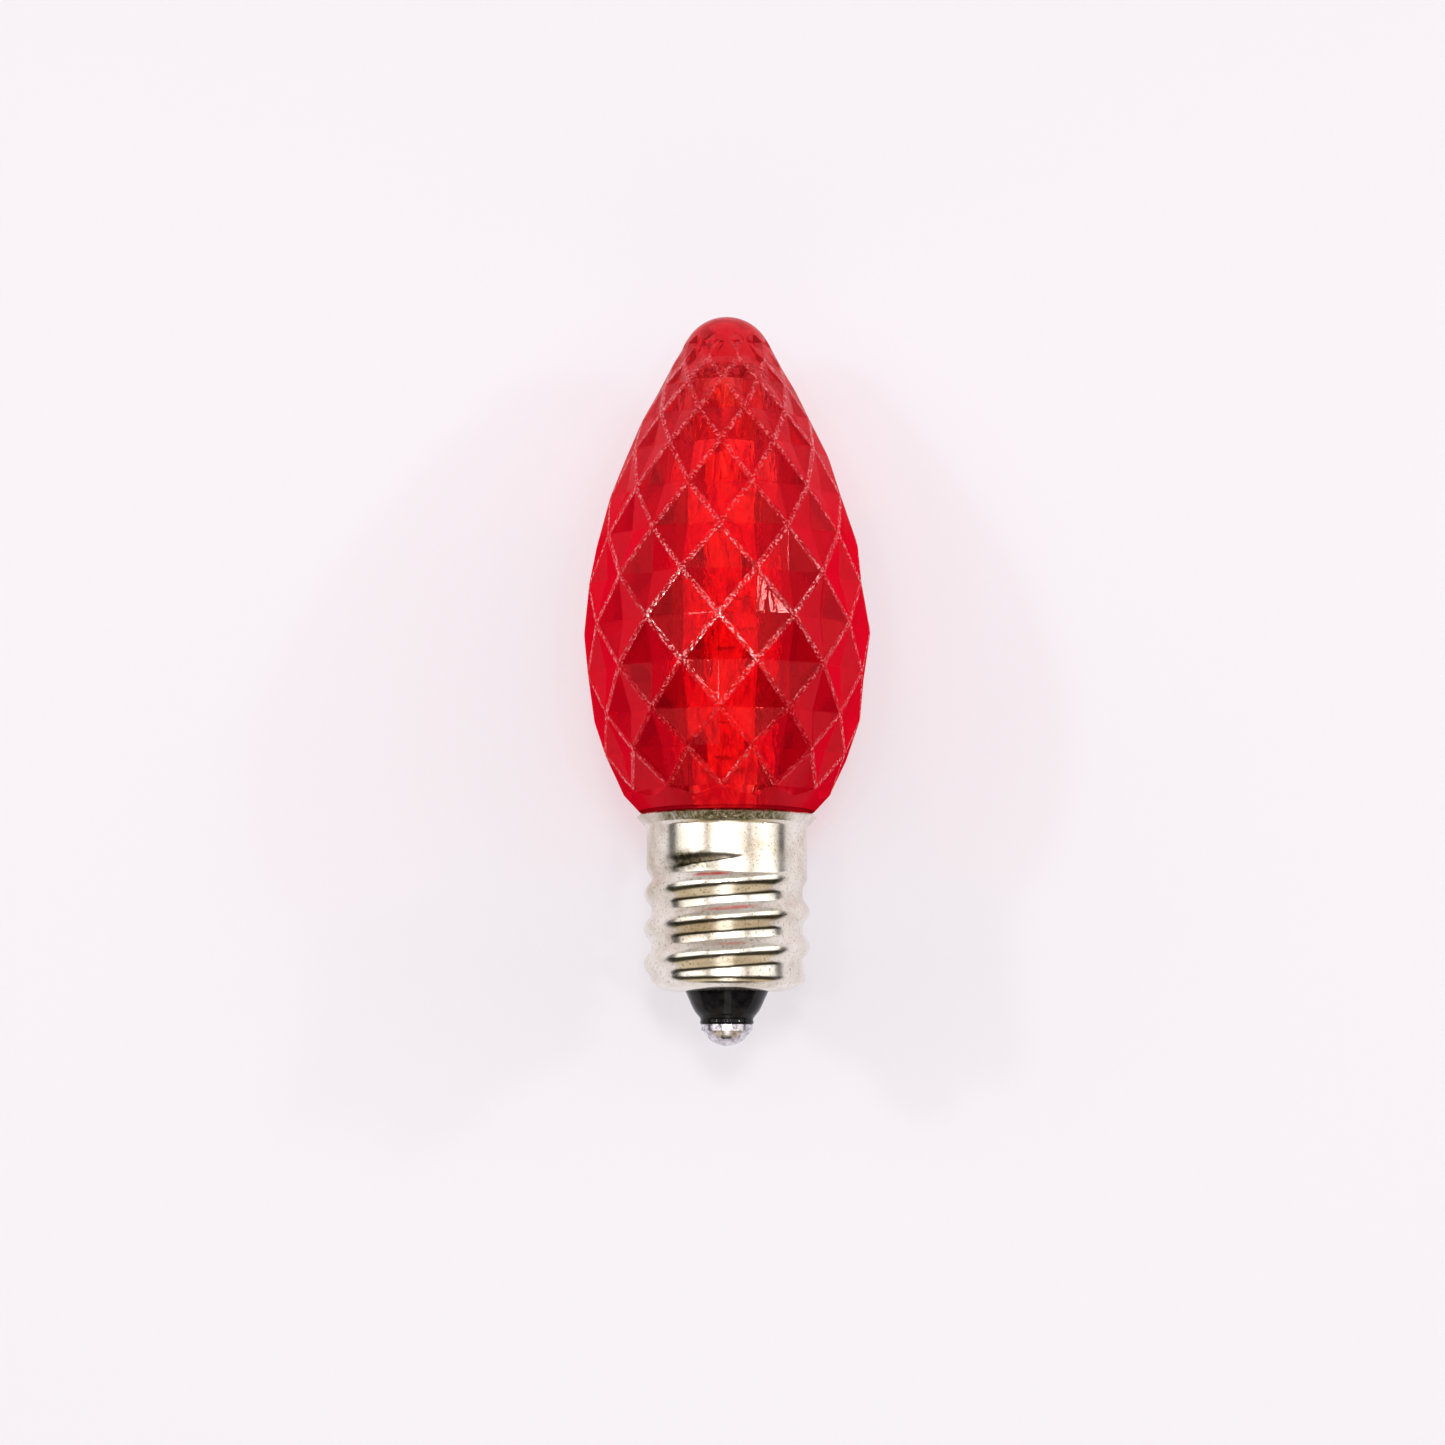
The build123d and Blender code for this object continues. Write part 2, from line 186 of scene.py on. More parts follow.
# Finishes of the lens: the tints of its skin and its bore, from dark marks to pale ones, and its other reds
SKIN_SHADES = ((0.35, (0.95, 0.2, 0.3)), (0.7, (1, 0.4, 0.35)))
BORE_SHADES = ((0.38, (0.4, 0.02, 0.05)), (0.5, (1, 0.3, 0.12)), (0.6, (1, 0.95, 0.3)))
VEIL_RED = (0.9, 0.16, 0.16, 1)
HAZE_RED = (0.62, 0.002, 0.015, 1)
WORN_RED = (0.72, 0.01, 0.03, 1)
DYE_RED = (0.875, 0.08, 0.14, 1)
DYE_DENSITY = 400.0
SHADOW_GREY = (0.92, 0.92, 0.92, 1)
PLASTIC_IOR = 1.49
WORN_IOR = 2.4
FLOW_MARK_HEIGHT = 0.45
DRAW_MARK_HEIGHT = 4.5
HAZE_LEAST = 0.12
HAZE_GROWTH = 1.5
HAZE_AT_TIP = 0.45

# Finishes of the shell, the solder, the wires and the black mouldings, with the shell's painted shade and
# reflection
NICKEL_SHADES = ((0.3, (0.7, 0.64, 0.55)), (0.5, (0.83, 0.78, 0.7)), (0.7, (0.88, 0.84, 0.78)))
STAIN_BROWN = (0.32, 0.2, 0.08, 1)
# Painted shade for the groove under the band
GROOVE_SHADE_BROWN = (0.1, 0.085, 0.03, 1)
# Painted dark reflection for the middle of the flare's underside
FLARE_REFLECTION_OLIVE = (0.16, 0.14, 0.06, 1)
PIT_BROWN = (0.2, 0.17, 0.12, 1)
# The least of the flare's painted dark reflection, between its streaks
FLARE_REFLECTION_LEAST = 0.4
SCRATCH_HEIGHT = 0.05
PRESS_MARK_HEIGHT = 3.0
GROOVE_DULLNESS = 0.06
TIN_SHADES = ((0.36, (0.3, 0.27, 0.3)), (0.5, (0.6, 0.57, 0.62)), (0.64, (0.82, 0.8, 0.87)))
WIRE_SHADES = ((0.35, (0.66, 0.62, 0.58)), (0.65, (0.8, 0.78, 0.75)))
BLACK_SHADES = ((0.35, (0.004, 0.004, 0.005)), (0.7, (0.014, 0.013, 0.014)))

# Table, and the room from straight below the picture to straight above it
PAPER = (0.9, 0.885, 0.9, 1)
# The paper's tones as the camera sees it: painted shade, darker towards the top of the picture, where the
# lamps light it more
PAPER_PAINTED_SHADES = ((0.0, (0.44, 0.42, 0.44)), (1.0, (0.4, 0.38, 0.395)))
TABLE_GLOW = (0.41, 0.405, 0.44, 1)
BACKDROP = (0.939, 0.905, 0.939, 1)
ROOM_SHADES = (
    (0.0, (0.06, 0.05, 0.02)),
    (0.025, (0.06, 0.05, 0.02)),
    (0.05, (0.72, 0.6, 0.43)),
    (0.13, (0.72, 0.6, 0.43)),
    (0.19, (0.03, 0.025, 0.01)),
    (0.45, (0.03, 0.025, 0.01)),
    (0.52, (0.56, 0.53, 0.51)),
    (1.0, (0.62, 0.59, 0.58)),
)
SIDES_DIM_FROM = 0.9
SIDES_DIM_TO = 0.96
SIDES_LIGHT = 0.2

# Lamps, in metres, with their rise and height as seen from the bulb in degrees
PANEL_DISTANCE = 0.4
PANEL_RISE = 15
PANEL_HALF_HEIGHT = 20
LAMP_DISTANCE = 0.38
LAMP_WHITE = (1.0, 0.985, 0.965)

azimuth = radians(CAMERA_AZIMUTH)
elevation = radians(CAMERA_ELEVATION)
forward = Vector((-sin(azimuth) * cos(elevation), cos(azimuth) * cos(elevation), -sin(elevation)))
right = forward.cross(Vector((0, 0, 1))).normalized()
up = right.cross(forward)
aim = Vector((0, 0, AIM_HEIGHT))
camera_turn = forward.to_track_quat("-Z", "Y").to_euler()


def in_view(across, along, depth):
    """A point beside, above and behind the aim, as the camera sees it."""
    return aim + right * across + up * along + forward * depth


# Materials
class Graph:
    """The nodes of a material or of the room, added one by one and joined by their socket names."""

    def __init__(self, owner, output="OutputMaterial"):
        owner.use_nodes = True
        self.owner = owner
        self.tree = owner.node_tree
        self.tree.nodes.clear()
        self.output = self.add(output)

    def add(self, kind, inputs=(), **settings):
        """A node. A socket among its inputs is linked, and a number or colour is set."""
        node = self.tree.nodes.new("ShaderNode" + kind)
        for key, value in settings.items():
            setattr(node, key, value)
        for key, value in dict(inputs).items():
            if isinstance(value, bpy.types.NodeSocket):
                self.tree.links.new(value, node.inputs[key])
            else:
                node.inputs[key].default_value = value
        return node

    def coordinates(self):
        return self.add("TexCoord").outputs["Object"]

    def place(self):
        return self.add("SeparateXYZ", {"Vector": self.coordinates()}).outputs

    def noise(self, scale, detail=2.0, rough=0.5, stretch=(1, 1, 1), wander=0.0):
        """A cloudy pattern, with its scale per metre. A low stretch along an axis draws it out that way."""
        mapped = self.add("Mapping", {"Vector": self.coordinates(), "Scale": stretch})
        inputs = {"Vector": mapped.outputs["Vector"], "Scale": scale, "Detail": detail}
        inputs.update({"Roughness": rough, "Distortion": wander})
        return self.add("TexNoise", inputs).outputs["Fac"]

    def ramp(self, value, stops):
        node = self.add("ValToRGB", {"Fac": value})
        while len(node.color_ramp.elements) < len(stops):
            node.color_ramp.elements.new(0.5)
        for element, (position, colour) in zip(node.color_ramp.elements, stops):
            element.position = position
            element.color = (*colour, 1)
        return node.outputs["Color"]

    def spread(self, value, low, high):
        """A value between 0 and 1 spread from the low number to the high one."""
        inputs = {"Value": value, "To Min": low, "To Max": high}
        return self.add("MapRange", inputs).outputs["Result"]

    def share(self, value, start, end):
        """0 up to the start and 1 from the end on. The start may be the higher of the two."""
        inputs = {"Value": value, "From Min": start, "From Max": end}
        return self.add("MapRange", inputs).outputs["Result"]

    def reach(self, length, ends):
        """A share whose start and end are in millimetres."""
        return self.share(length, ends[0] * MM, ends[1] * MM)

    def patches(self, pattern, low, high):
        """A pattern with its contrast raised, so that only parts of the surface have it."""
        return self.limit(self.spread(pattern, low, high))

    def bump(self, height, strength, depth):
        """Relief of a depth in millimetres."""
        inputs = {"Height": height, "Strength": strength, "Distance": depth * MM}
        return self.add("Bump", inputs).outputs["Normal"]

    def calculate(self, operation, first, second=0.0):
        return self.add("Math", {0: first, 1: second}, operation=operation).outputs["Value"]

    def both(self, first, second):
        return self.calculate("MULTIPLY", first, second)

    def limit(self, value):
        return self.add("Clamp", {"Value": value}).outputs["Result"]

    def blend(self, amount, first, second):
        """A number that goes from the first to the second as the amount goes from 0 to 1."""
        rise = self.both(self.calculate("SUBTRACT", second, first), amount)
        return self.calculate("ADD", first, rise)

    def tint(self, amount, first, second):
        return self.add("MixRGB", {"Fac": amount, "Color1": first, "Color2": second}).outputs["Color"]

    def shader(self, kind, inputs=()):
        return self.add(kind, inputs).outputs[0]

    def mix(self, amount, first, second):
        return self.shader("MixShader", {"Fac": amount, 1: first, 2: second})

    def finish(self, surface, volume=None):
        """The material or the room, with its shaders joined to its output."""
        self.tree.links.new(surface, self.output.inputs["Surface"])
        if volume is not None:
            self.tree.links.new(volume, self.output.inputs["Volume"])
        return self.owner


def new_graph(name):
    return Graph(bpy.data.materials.new(name))


def inner_walls(g, place):
    """1 on the walls of the bore and the neck, which show through the lens, and 0 on its outside."""
    across = g.calculate("POWER", place["X"], 2.0)
    deep = g.calculate("POWER", place["Y"], 2.0)
    radius = g.calculate("SQRT", g.calculate("ADD", across, deep))
    zones = []
    for zone_radius, zone_top in ((BORE_ZONE_RADIUS, BORE_ZONE_TOP), (NECK_ZONE_RADIUS, NECK_ZONE_TOP)):
        within = g.calculate("LESS_THAN", radius, zone_radius * MM)
        below = g.calculate("LESS_THAN", place["Z"], zone_top * MM)
        zones.append(g.both(within, below))
    return g.calculate("MAXIMUM", *zones)


def clear_red(g, bore, ridge, grain):
    """The plastic itself: faint flow marks from the mould outside, and strong draw marks in the bore."""
    draw_marks = g.noise(560, detail=2.0, rough=0.5, stretch=(1, 1, 0.3), wander=2.2)
    flow_marks = g.noise(900, detail=3.0, rough=0.6, stretch=(1, 1, 0.3), wander=1.0)
    skin = g.blend(ridge, g.calculate("MULTIPLY", flow_marks, FLOW_MARK_HEIGHT), grain)
    relief = g.blend(bore, skin, g.calculate("MULTIPLY", draw_marks, DRAW_MARK_HEIGHT))
    return g.shader(
        "BsdfPrincipled",
        {
            "Base Color": g.tint(bore, g.ramp(flow_marks, SKIN_SHADES), g.ramp(draw_marks, BORE_SHADES)),
            "Transmission Weight": 1.0,
            "IOR": PLASTIC_IOR,
            "Specular Tint": VEIL_RED,
            "Roughness": g.blend(bore, g.spread(g.noise(800), 0.01, 0.05), 0.12),
            "Normal": g.bump(relief, 0.5, 0.1),
        },
    )


def worn_red(g, grain):
    """The scuffed top of a ridge, which glints white in dots."""
    return g.shader(
        "BsdfPrincipled",
        {
            "Base Color": WORN_RED,
            "Roughness": 0.24,
            "Specular IOR Level": 1.0,
            "Coat Weight": 1.0,
            "Coat Roughness": 0.16,
            "Coat IOR": WORN_IOR,
            "Normal": g.bump(grain, 0.6, 0.1),
        },
    )


def lens_material():
    """Clear red plastic. Its dye lets red through, so thick parts are deep red and thin ones orange. Facets
    that turn away are hazed, less so near the tip, and the ridges are worn."""
    g = new_graph("lens")
    place = g.place()
    bore = inner_walls(g, place)
    ridge = g.add("Attribute", attribute_name="ridge").outputs["Fac"]
    grain = g.noise(5200, detail=3.0, rough=0.7)
    turned_away = g.add("LayerWeight", {"Blend": 0.5}).outputs["Facing"]
    veil = g.limit(g.calculate("ADD", g.calculate("MULTIPLY", turned_away, HAZE_GROWTH), HAZE_LEAST))
    outside = g.calculate("SUBTRACT", 1.0, bore)
    clouding = g.blend(g.reach(place["Z"], HAZE_THINS), 1.0, HAZE_AT_TIP)
    cloudy = g.both(g.both(outside, clouding), veil)
    hazed = g.mix(cloudy, clear_red(g, bore, ridge, grain), g.shader("BsdfDiffuse", {"Color": HAZE_RED}))
    specks = g.patches(g.noise(5600, detail=2.0, rough=0.6), -2.9, 2.9)
    worn = g.mix(g.both(ridge, specks), hazed, worn_red(g, grain))
    passing = g.shader("BsdfTransparent", {"Color": SHADOW_GREY})
    whole = g.mix(g.add("LightPath").outputs["Is Shadow Ray"], worn, passing)
    dye = g.shader("VolumeAbsorption", {"Color": DYE_RED, "Density": DYE_DENSITY})
    return g.finish(whole, dye)


def groove_zone(g, place):
    """1 in the groove under the band, fading above and below it."""
    distance = g.calculate("ABSOLUTE", g.calculate("SUBTRACT", place["Z"], GROOVE_MIDDLE_HEIGHT * MM))
    return g.reach(distance, GROOVE_REACH)


def groove_painted_shade(g, place, in_groove, on_front):
    """Painted shade: a patchy darkening in the groove at the left of the front."""
    from_middle = g.reach(place["X"], GROOVE_SHADE_RIGHT_END)
    from_side = g.reach(place["X"], GROOVE_SHADE_LEFT_END)
    shade_patches = g.patches(g.noise(2600, detail=4.0, rough=0.75), -0.5, 1.9)
    return g.both(g.both(in_groove, shade_patches), g.both(on_front, g.both(from_middle, from_side)))


def flare_painted_reflection(g, place, on_flare, on_front):
    """Painted dark reflection: olive on the middle of the flare's underside at the front, in upright streaks.
    """
    inward = g.reach(g.calculate("ABSOLUTE", place["X"]), FLARE_REFLECTION_SIDES)
    streaks = g.patches(g.noise(3400, detail=2.0, rough=0.6, stretch=(1, 1, 0.03)), -0.7, 2.1)
    return g.both(g.both(on_flare, on_front), g.both(inward, g.blend(streaks, FLARE_REFLECTION_LEAST, 1.0)))


def shell_material():
    """Nickel on brass: stains, pits, soft dents, hair scratches and press marks, with painted shade and
    reflection.
    """
    g = new_graph("shell")
    place = g.place()
    on_front = g.calculate("LESS_THAN", place["Y"], 0.0)
    on_flare = g.calculate("GREATER_THAN", place["Z"], (FLARE_FOOT + FLARE_UNDERSIDE_FOOT) * MM)
    in_groove = groove_zone(g, place)
    stains = g.both(g.spread(g.noise(230, detail=3.0), -2.0, 2.3), g.noise(3800, detail=3.0, rough=0.8))
    pits = g.patches(g.noise(6500, detail=2.0, rough=0.6), -5.6, 3.7)
    tone = g.ramp(g.noise(420, detail=4.0, rough=0.6), NICKEL_SHADES)
    tone = g.tint(g.limit(stains), tone, STAIN_BROWN)
    # Painted shade darkens the groove under the band at the left of the front
    tone = g.tint(groove_painted_shade(g, place, in_groove, on_front), tone, GROOVE_SHADE_BROWN)
    # A painted dark reflection darkens the middle of the flare's underside at the front
    tone = g.tint(flare_painted_reflection(g, place, on_flare, on_front), tone, FLARE_REFLECTION_OLIVE)
    tone = g.tint(pits, tone, PIT_BROWN)
    dents = g.noise(260, detail=1.0, rough=0.4)
    scratches = g.noise(2600, detail=3.0, rough=0.7, stretch=(0.25, 0.25, 2.0))
    press_marks = g.both(on_flare, g.noise(3000, detail=2.0, rough=0.6, stretch=(1, 1, 0.05)))
    relief = g.calculate("ADD", dents, g.calculate("MULTIPLY", scratches, SCRATCH_HEIGHT))
    relief = g.calculate("ADD", relief, g.calculate("MULTIPLY", press_marks, PRESS_MARK_HEIGHT))
    dulled = g.calculate("MULTIPLY", in_groove, GROOVE_DULLNESS)
    rough = g.calculate("ADD", g.spread(g.noise(900, detail=3.0), 0.12, 0.26), dulled)
    normal = g.bump(relief, 0.5, 0.1)
    inputs = {"Base Color": tone, "Metallic": 1.0, "Roughness": rough, "Normal": normal}
    return g.finish(g.shader("BsdfPrincipled", inputs))


def solder_material():
    """Tin: bright, with dull grey specks and small dimples from cooling."""
    g = new_graph("tin")
    tone = g.ramp(g.noise(3000, detail=4.0, rough=0.75), TIN_SHADES)
    rough = g.spread(g.noise(1400, detail=3.0), 0.1, 0.32)
    dimples = g.bump(g.noise(1800, detail=3.0, rough=0.6), 0.5, 0.06)
    inputs = {"Base Color": tone, "Metallic": 1.0, "Roughness": rough, "Normal": dimples}
    return g.finish(g.shader("BsdfPrincipled", inputs))


def wire_material():
    """Tinned wire, with the marks of drawing along it."""
    g = new_graph("wire")
    tone = g.ramp(g.noise(2200, detail=3.0, rough=0.6), WIRE_SHADES)
    drawn = g.bump(g.noise(2600, detail=2.0, rough=0.6, stretch=(1, 1, 0.1)), 0.2, 0.03)
    inputs = {"Base Color": tone, "Metallic": 1.0, "Roughness": 0.22, "Normal": drawn}
    return g.finish(g.shader("BsdfPrincipled", inputs))


def black_material(name, roughness, shine):
    """A black moulding with faint ripples."""
    g = new_graph(name)
    tone = g.ramp(g.noise(1500, detail=3.0, rough=0.6), BLACK_SHADES)
    rough = g.spread(g.noise(1100, detail=3.0), roughness * 0.6, roughness * 1.5)
    ripples = g.bump(g.noise(700), 0.4, 0.1)
    inputs = {"Base Color": tone, "Roughness": rough, "Specular IOR Level": shine, "Normal": ripples}
    return g.finish(g.shader("BsdfPrincipled", inputs))


def dull_material(name, pale, dark, roughness, grain):
    """A dull pale finish with fine speckle."""
    g = new_graph(name)
    speckle = g.noise(grain, detail=4.0, rough=0.65)
    tone = g.ramp(speckle, ((0.35, dark), (0.65, pale)))
    rough = g.spread(g.noise(grain * 1.7, detail=3.0), roughness * 0.8, roughness * 1.3)
    inputs = {"Base Color": tone, "Roughness": rough, "Normal": g.bump(speckle, 0.25, 0.04)}
    return g.finish(g.shader("BsdfPrincipled", inputs))


materials = {
    "lens": lens_material(),
    "shell": shell_material(),
    "insulator": black_material("insulator", roughness=0.05, shine=0.14),
    "tin": solder_material(),
    "cement": dull_material("cement", (0.82, 0.8, 0.74), (0.66, 0.62, 0.52), roughness=0.7, grain=1400),
    "board": dull_material("board", (0.87, 0.86, 0.82), (0.79, 0.78, 0.75), roughness=0.4, grain=900),
    "wire": wire_material(),
    "led": dull_material("led", (0.88, 0.85, 0.74), (0.8, 0.77, 0.66), roughness=0.35, grain=1600),
    "chip": black_material("chip", roughness=0.4, shine=0.5),
}
slots = {part["node"]: part["material_slot"] for part in frame["record"]["subparts"]}
for name, node in nodes.items():
    node.data.materials.clear()
    node.data.materials.append(materials[slots[name]])


# Pieces
def settle(piece, node_name):
    """The piece takes the place, the material and the slot of a node, and moves with the bulb."""
    piece.data.materials.clear()
    piece.data.materials.append(materials[slots[node_name]])
    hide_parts(node_name)
    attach(piece, "root")


def apply_modifier(piece, kind, **settings):
    modifier = piece.modifiers.new(kind.lower(), kind)
    for key, value in settings.items():
        setattr(modifier, key, value)
    bpy.context.view_layer.objects.active = piece
    bpy.ops.object.modifier_apply(modifier=modifier.name)


def select_only(piece):
    bpy.ops.object.select_all(action="DESELECT")
    piece.select_set(True)
    bpy.context.view_layer.objects.active = piece


def turned(name, rings, sides):
    """A turned shape: a circle drawn up through the radii and heights of its profile, in millimetres."""
    bpy.ops.object.select_all(action="DESELECT")
    radius, height = rings[0]
    bpy.ops.mesh.primitive_circle_add(vertices=sides, radius=radius * MM, location=(0, 0, height * MM))
    piece = bpy.context.object
    piece.name = name
    bpy.ops.object.transform_apply(location=True)
    bpy.ops.object.mode_set(mode="EDIT")
    bpy.ops.mesh.select_all(action="SELECT")
    for next_radius, next_height in rings[1:]:
        rise = (0, 0, (next_height - height) * MM)
        bpy.ops.mesh.extrude_region_move(TRANSFORM_OT_translate={"value": rise})
        scale = next_radius / radius
        bpy.ops.transform.resize(value=(scale, scale, 1), center_override=(0, 0, next_height * MM))
        radius, height = next_radius, next_height
    bpy.ops.object.mode_set(mode="OBJECT")
    return piece


def on_net(point):
    """Whether a point of the lens lies on its outside, between the plain ring and the plain tip."""
    return NET_FOOT * MM < point.z < NET_TOP * MM and point.xy.length > NET_INNER_RADIUS * MM


def make_lens():
    """The lens with its ridges rounded, as a mould leaves them, and marked for their worn finish. The strips
    of the ridges have four sides, and where they cross the faces are tiny. Facets are larger and have three.
    The mark waits in the material index, which the bevel carries over to its new faces."""
    mesh = nodes["lens"].data.copy()
    mesh.materials.clear()
    piece = bpy.data.objects.new("faceted_lens", mesh)
    bpy.context.scene.collection.objects.link(piece)
    select_only(piece)
    bpy.ops.object.mode_set(mode="EDIT")
    bpy.ops.mesh.select_all(action="SELECT")
    bpy.ops.mesh.customdata_custom_splitnormals_clear()
    bpy.ops.mesh.remove_doubles(threshold=WELD_DISTANCE * MM)
    bpy.ops.mesh.dissolve_limited(angle_limit=radians(FLAT_TURN))
    bpy.ops.mesh.select_mode(type="EDGE")
    bpy.ops.mesh.select_all(action="DESELECT")
    shape = bmesh.from_edit_mesh(mesh)
    for face in shape.faces:
        narrow = len(face.verts) == 4 or face.calc_area() < CROSSING_AREA_MOST * MM * MM
        face.material_index = int(on_net(face.calc_center_median()) and narrow)
    for edge in shape.edges:
        ends_on_net = on_net(edge.verts[0].co) and on_net(edge.verts[1].co)
        if ends_on_net and edge.is_manifold and edge.calc_face_angle() > radians(RIDGE_TURN):
            edge.select_set(True)
    bmesh.update_edit_mesh(mesh)
    bpy.ops.mesh.bevel(offset=RIDGE_ROUNDING * MM, segments=3, affect="EDGES", clamp_overlap=True)
    bpy.ops.object.mode_set(mode="OBJECT")
    ridge = mesh.attributes.new("ridge", "FLOAT", "FACE")
    for face in mesh.polygons:
        ridge.data[face.index].value = face.material_index
        face.material_index = 0
    bpy.ops.object.shade_smooth_by_angle(angle=radians(LENS_SMOOTH_TURN))
    apply_modifier(piece, "WEIGHTED_NORMAL", keep_sharp=True, weight=80)
    settle(piece, "lens")


def smooth_step(low, high, value):
    share = min(max((value - low) / (high - low), 0), 1)
    return share * share * (3 - 2 * share)


def between(stops, place):
    """A value read between the two stops on either side of a place around the shell, and eased from one to
    the other."""
    for (low, value), (high, next_value) in zip(stops, stops[1:]):
        if place <= high:
            return value + (next_value - value) * smooth_step(low, high, place)
    return stops[-1][1]


def thread_rise(turn, height):
    """How far the thread stands out of the valleys. Its crest climbs a pitch a turn, from the back by the
    left, the front and the right, so it is right-handed, and it fades at both ends."""
    rise = 0.0
    for number in THREAD_TURNS:
        crest = THREAD_START + (turn + number) * THREAD_PITCH
        fade = smooth_step(THREAD_START - THREAD_FADE, THREAD_START, crest)
        fade *= 1 - smooth_step(THREAD_LAST, THREAD_LAST + THREAD_FADE, crest)
        offset = abs(height - crest) / THREAD_PITCH
        if offset < 0.5:
            rise += THREAD_DEPTH * fade * (0.5 + 0.5 * cos(2 * pi * offset)) ** CREST_SHARPNESS
    return rise


def shell_radius(angle, height):
    """Radius of the rolled shell at an angle that runs from the right by the back to the left. The higher of
    thread and band counts, with a fillet where they meet."""
    turn = (angle / (2 * pi) - 0.25) % 1.0
    thread = thread_rise(turn, height)
    band_foot = between(BAND_FEET, turn)
    rise = smooth_step(band_foot, band_foot + BAND_BLEND, height)
    fill = between(GROOVE_FILL, turn) * smooth_step(GROOVE_FOOT, GROOVE_TOP, height)
    band = (BAND_RADIUS - VALLEY_RADIUS) * max(rise, fill)
    return VALLEY_RADIUS + (thread + band + sqrt((thread - band) ** 2 + FILLET**2) - FILLET) / 2


def make_screw_shell():
    """The shell: a turned foot, a rolled helical thread, a plain band and a flared rim, in thin sheet."""
    step = (FLARE_FOOT - THREAD_FOOT) / SHELL_ROWS
    rings = [(SHELL_HOLE_RADIUS, SHELL_FOOT)]
    rings += [(radius, SHELL_FOOT + rise) for radius, rise in BOWL]
    rings += [(VALLEY_RADIUS, THREAD_FOOT + step * row) for row in range(SHELL_ROWS + 1)]
    rings += [(BAND_RADIUS + growth, FLARE_FOOT + rise) for growth, rise in FLARE]
    rings += [(FLARE_RADIUS - RIM_INWARD, FLARE_TOP - RIM_BELOW), (FLARE_RADIUS, FLARE_TOP)]
    piece = turned("rolled_shell", rings, SHELL_SIDES)
    below_flare = FLARE_FOOT + FLARE[0][1] / 2
    for point in piece.data.vertices:
        height = point.co.z / MM
        if height < below_flare:
            angle = point.co.xy.angle_signed(Vector((1, 0)))
            share = smooth_step(SHELL_FOOT + BOWL_PLAIN, THREAD_FOOT, height)
            growth = (shell_radius(angle, height) - VALLEY_RADIUS) * share
            point.co.xy += point.co.xy.normalized() * growth * MM
    select_only(piece)
    bpy.ops.object.mode_set(mode="EDIT")
    bpy.ops.mesh.select_all(action="SELECT")
    bpy.ops.mesh.normals_make_consistent(inside=False)
    bpy.ops.object.mode_set(mode="OBJECT")
    apply_modifier(piece, "SOLIDIFY", thickness=SHEET * MM, offset=-1, use_even_offset=True)
    turn = radians(SHEET_EDGE_TURN)
    apply_modifier(piece, "BEVEL", width=SHEET_EDGE * MM, segments=2, limit_method="ANGLE", angle_limit=turn)
    select_only(piece)
    bpy.ops.object.shade_smooth_by_angle(angle=radians(SHELL_SMOOTH_TURN))
    settle(piece, "screw_shell")


def make_insulator():
    """The black cone between shell and contact, drawn in above its foot, and its flange inside the shell."""
    piece = turned("black_cone", CONE_FOOT + CONE_FLANK + CONE_FLANGE, CONE_SIDES)
    select_only(piece)
    bpy.ops.object.mode_set(mode="EDIT")
    bpy.ops.mesh.select_mode(type="EDGE")
    bpy.ops.mesh.select_all(action="DESELECT")
    bpy.ops.mesh.select_non_manifold()
    bpy.ops.mesh.bridge_edge_loops()
    bpy.ops.mesh.select_all(action="SELECT")
    bpy.ops.mesh.normals_make_consistent(inside=False)
    bpy.ops.object.mode_set(mode="OBJECT")
    bpy.ops.object.shade_smooth_by_angle(angle=radians(CONE_SMOOTH_TURN))
    settle(piece, "insulator")


make_lens()
make_screw_shell()
make_insulator()


# Table, seen only from its front, so that it doesn't hide the bulb from behind
def table_material():
    """Pale paper. The camera, gloss and clear plastic see it brighter than it lights the bulb."""
    g = new_graph("table")
    paper = g.shader("BsdfDiffuse", {"Color": PAPER})
    # Painted shade: darker towards the top of the picture, evening out the stronger light there
    paper_painted_shade = g.ramp(g.share(g.place()["Y"], -TABLE_FADE, TABLE_FADE), PAPER_PAINTED_SHADES)
    shown = g.shader("BsdfDiffuse", {"Color": paper_painted_shade})
    glow = g.shader("Emission", {"Color": TABLE_GLOW, "Strength": 1.0})
    bright = g.shader("AddShader", {0: shown, 1: glow})
    path = g.add("LightPath").outputs
    seen = g.calculate("ADD", path["Is Camera Ray"], path["Is Glossy Ray"])
    seen = g.limit(g.calculate("ADD", seen, path["Is Transmission Ray"]))
    front = g.mix(seen, paper, bright)
    behind = g.both(path["Is Camera Ray"], g.add("NewGeometry").outputs["Backfacing"])
    return g.finish(g.mix(behind, front, g.shader("BsdfTransparent")))


bpy.ops.object.select_all(action="DESELECT")
bpy.ops.mesh.primitive_plane_add(size=1.0, location=in_view(0, 0, TABLE_DEPTH), rotation=camera_turn)
table = bpy.context.object
table.name = "table"
table.data.materials.append(table_material())


# Lights
def lamp(name, turn, rise, distance, width, height, watts):
    """A lamp on the ball around the bulb, turned to the side and raised from the camera, both in degrees."""
    side = distance * sin(radians(turn)) * cos(radians(rise))
    near = distance * cos(radians(turn)) * cos(radians(rise))
    bpy.ops.object.light_add(type="AREA", location=in_view(side, distance * sin(radians(rise)), -near))
    light = bpy.context.object
    light.name = name
    light.data.shape = "RECTANGLE"
    light.data.size = width
    light.data.size_y = height
    light.data.energy = watts
    light.data.color = LAMP_WHITE
    aim_line = in_view(0, 0, 0) - light.location
    light.rotation_euler = aim_line.to_track_quat("-Z", "Y").to_euler()


def panel(name, first_turn, last_turn, watts):
    """A soft panel that reaches from one turn to the other."""
    width = 2 * PANEL_DISTANCE * tan(radians(last_turn - first_turn) / 2)
    height = 2 * PANEL_DISTANCE * tan(radians(PANEL_HALF_HEIGHT))
    lamp(name, (first_turn + last_turn) / 2, PANEL_RISE, PANEL_DISTANCE, width, height, watts)


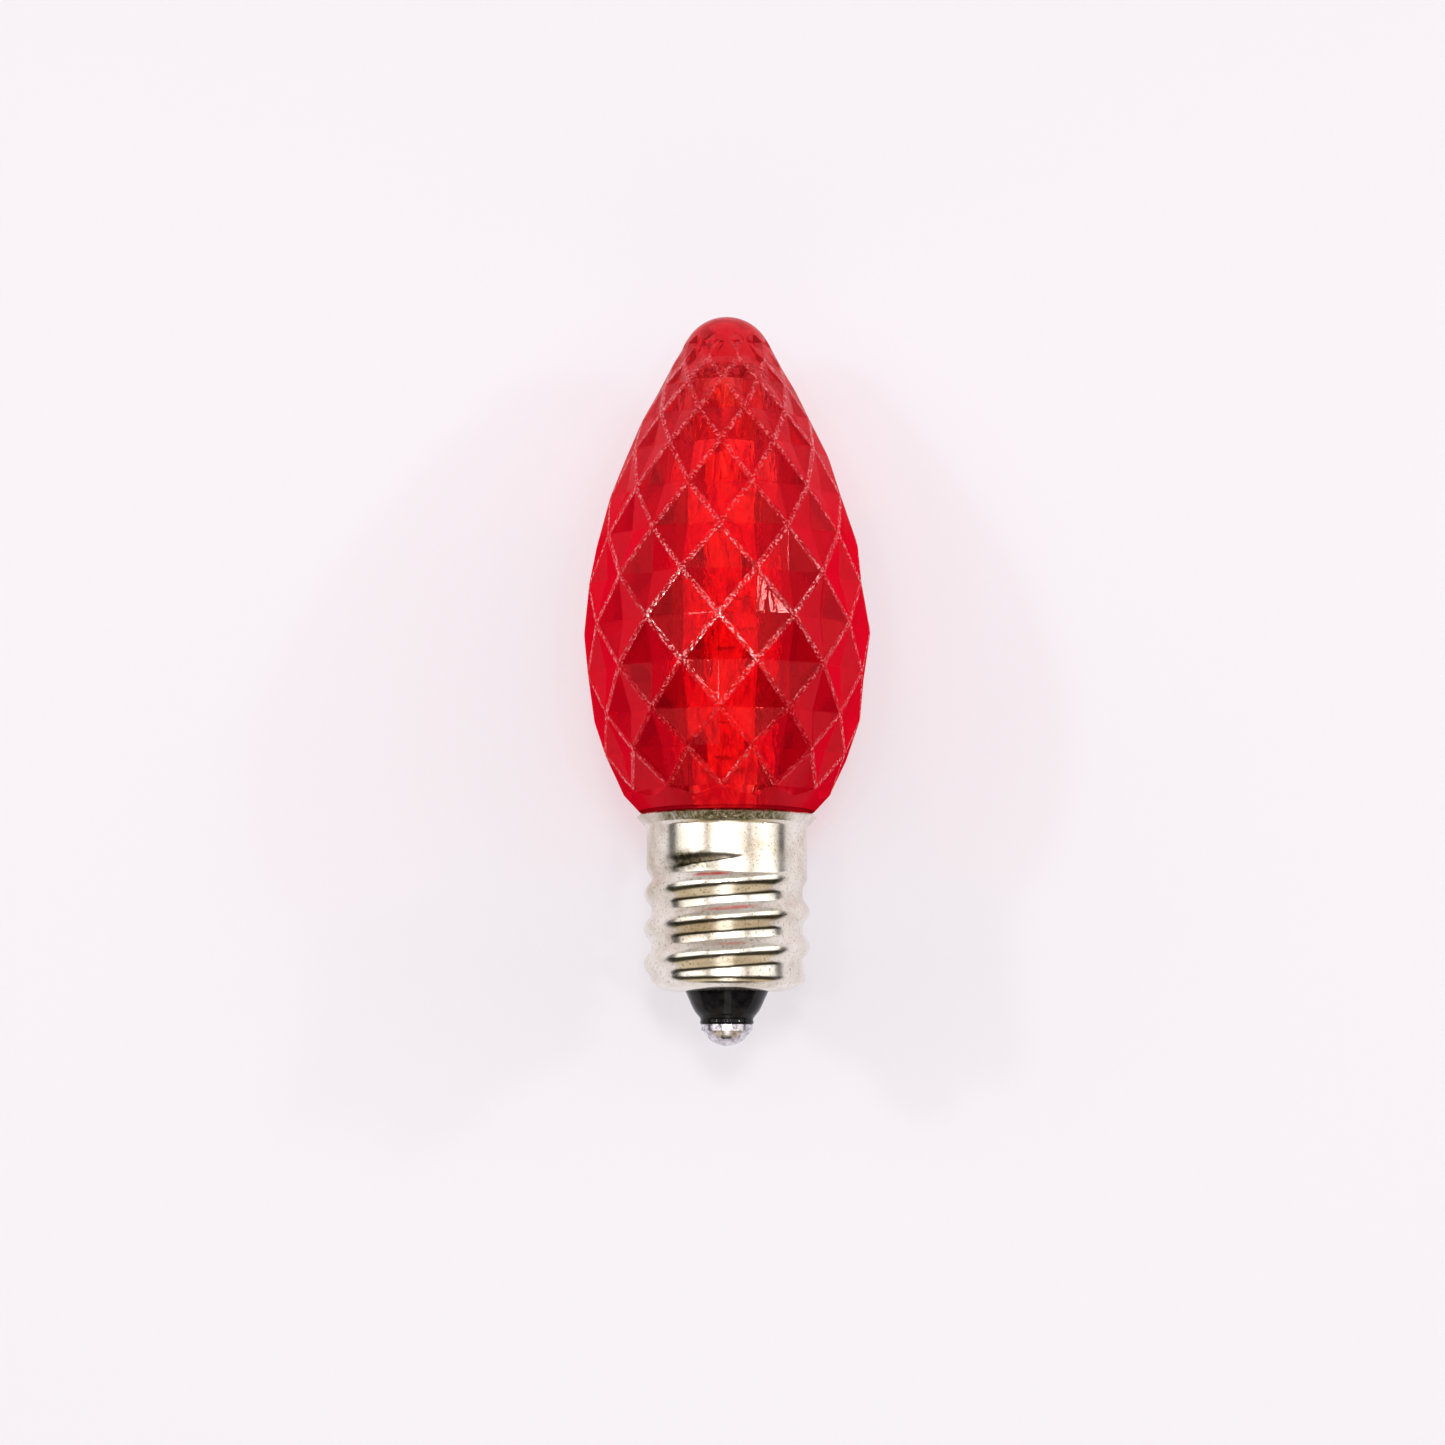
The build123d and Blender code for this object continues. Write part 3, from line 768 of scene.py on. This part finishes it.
# Three soft panels with dark gaps between them
panel("panel_left", -77, -33, watts=0.3)
panel("panel_top", -26, 29, watts=0.38)
panel("panel_right", 35.5, 80, watts=0.31)

# A small lamp in front of each panel, for the hard glints, and two smaller ones beside the camera
lamp("lamp_left", -46, 16, LAMP_DISTANCE, 0.028, 0.036, watts=0.25)
lamp("lamp_top", 1, 13, LAMP_DISTANCE, 0.04, 0.04, watts=0.3)
lamp("lamp_right", 58, 16, LAMP_DISTANCE, 0.028, 0.036, watts=0.25)
lamp("near_lamp_left", -12, 4, LAMP_DISTANCE, 0.02, 0.02, watts=0.1)
lamp("near_lamp_right", 13, 3, LAMP_DISTANCE, 0.02, 0.02, watts=0.1)

# A faint card below the picture, for the underside of the contact and of the thread
lamp("low_card", 2, -52, PANEL_DISTANCE, 0.12, 0.26, watts=0.12)


def make_room():
    """The room that metal and plastic mirror: pale above the picture, dark below it with one brown stretch,
    and dimmer straight to the sides. The camera sees a plain backdrop instead."""
    world = bpy.data.worlds.new("room")
    bpy.context.scene.world = world
    g = Graph(world, "OutputWorld")
    direction = g.add("TexCoord").outputs["Generated"]
    rise = g.add("VectorMath", {0: direction, 1: up}, operation="DOT_PRODUCT").outputs["Value"]
    aside = g.add("VectorMath", {0: direction, 1: right}, operation="DOT_PRODUCT").outputs["Value"]
    to_side = g.share(g.calculate("ABSOLUTE", aside), SIDES_DIM_FROM, SIDES_DIM_TO)
    shades = g.ramp(g.share(rise, -1.0, 1.0), ROOM_SHADES)
    room = g.shader("Background", {"Color": shades, "Strength": g.spread(to_side, 1.0, SIDES_LIGHT)})
    backdrop = g.shader("Background", {"Color": BACKDROP})
    g.finish(g.mix(g.add("LightPath").outputs["Is Camera Ray"], room, backdrop))


make_room()

# Camera
bpy.ops.object.camera_add(location=in_view(-AIM_SHIFT, 0, -CAMERA_DISTANCE), rotation=camera_turn)
camera = bpy.context.object
camera.name = "camera"
camera.data.lens = FOCAL_LENGTH
camera.data.clip_start = CAMERA_NEAR
bpy.context.scene.camera = camera
bpy.context.scene.view_settings.view_transform = "Standard"
